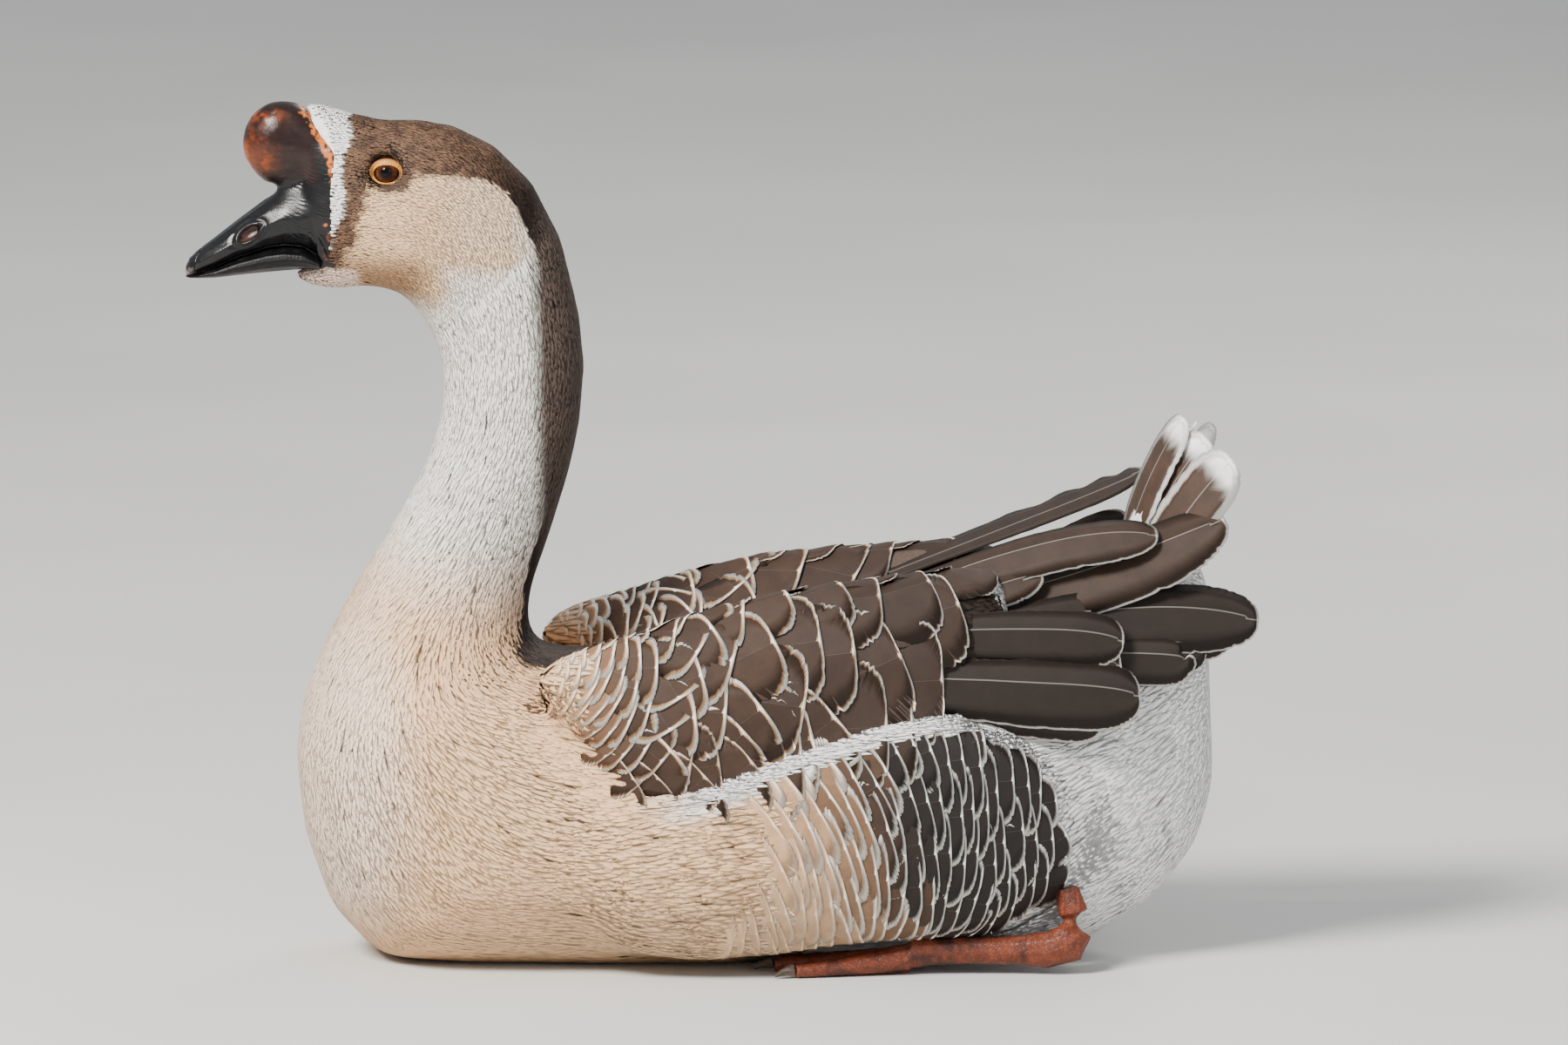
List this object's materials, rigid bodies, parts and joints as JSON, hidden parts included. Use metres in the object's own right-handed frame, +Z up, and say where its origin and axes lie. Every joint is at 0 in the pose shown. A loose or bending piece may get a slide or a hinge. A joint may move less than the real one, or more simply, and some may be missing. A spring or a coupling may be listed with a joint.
{
  "type": "domestic goose",
  "caption": "Knobbed brown domestic goose, a life-size still model that lies on its belly with folded wings and its neck upright.",
  "frame": {"origin": "under the middle of the bird's bounding box, on the surface that it lies on", "axes": "+X from the bill towards the tail, so the bird faces -X; +Y towards its right side; +Z up"},
  "size_m": [0.6144, 0.2252, 0.4968],
  "materials": {
    "plumage": "matte",
    "wing_feathers": "satin",
    "bill": "satin",
    "nail": "satin",
    "knob": "gloss",
    "eye": "gloss",
    "eyelid": "satin",
    "leg": "satin",
    "claw": "satin"
  },
  "bodies": {
    "root": {"head": "plumage", "neck_upper": "plumage", "neck_middle": "plumage", "neck_lower": "plumage", "breast": "plumage", "trunk": "plumage", "abdomen": "plumage", "flank_left": "plumage", "flank_right": "plumage", "wing_coverts_left": "plumage", "wing_coverts_right": "plumage", "wing_tertial_inner_left": "wing_feathers", "wing_tertial_inner_right": "wing_feathers", "wing_tertial_outer_left": "wing_feathers", "wing_tertial_outer_right": "wing_feathers", "wing_secondaries_left": "wing_feathers", "wing_secondaries_right": "wing_feathers", "wing_primaries_left": "wing_feathers", "wing_primaries_right": "wing_feathers", "tail": "wing_feathers", "bill_upper": "bill", "bill_lower": "bill", "bill_nail": "nail", "knob": "knob", "eye_left": "eye", "eye_right": "eye", "eyelid_left": "eyelid", "eyelid_right": "eyelid", "tarsus_left": "leg", "tarsus_right": "leg", "foot_left": "leg", "foot_right": "leg", "hallux_left": "leg", "hallux_right": "leg", "claw_inner_left": "claw", "claw_middle_left": "claw", "claw_outer_left": "claw", "claw_inner_right": "claw", "claw_middle_right": "claw", "claw_outer_right": "claw"}
  },
  "joints": []
}
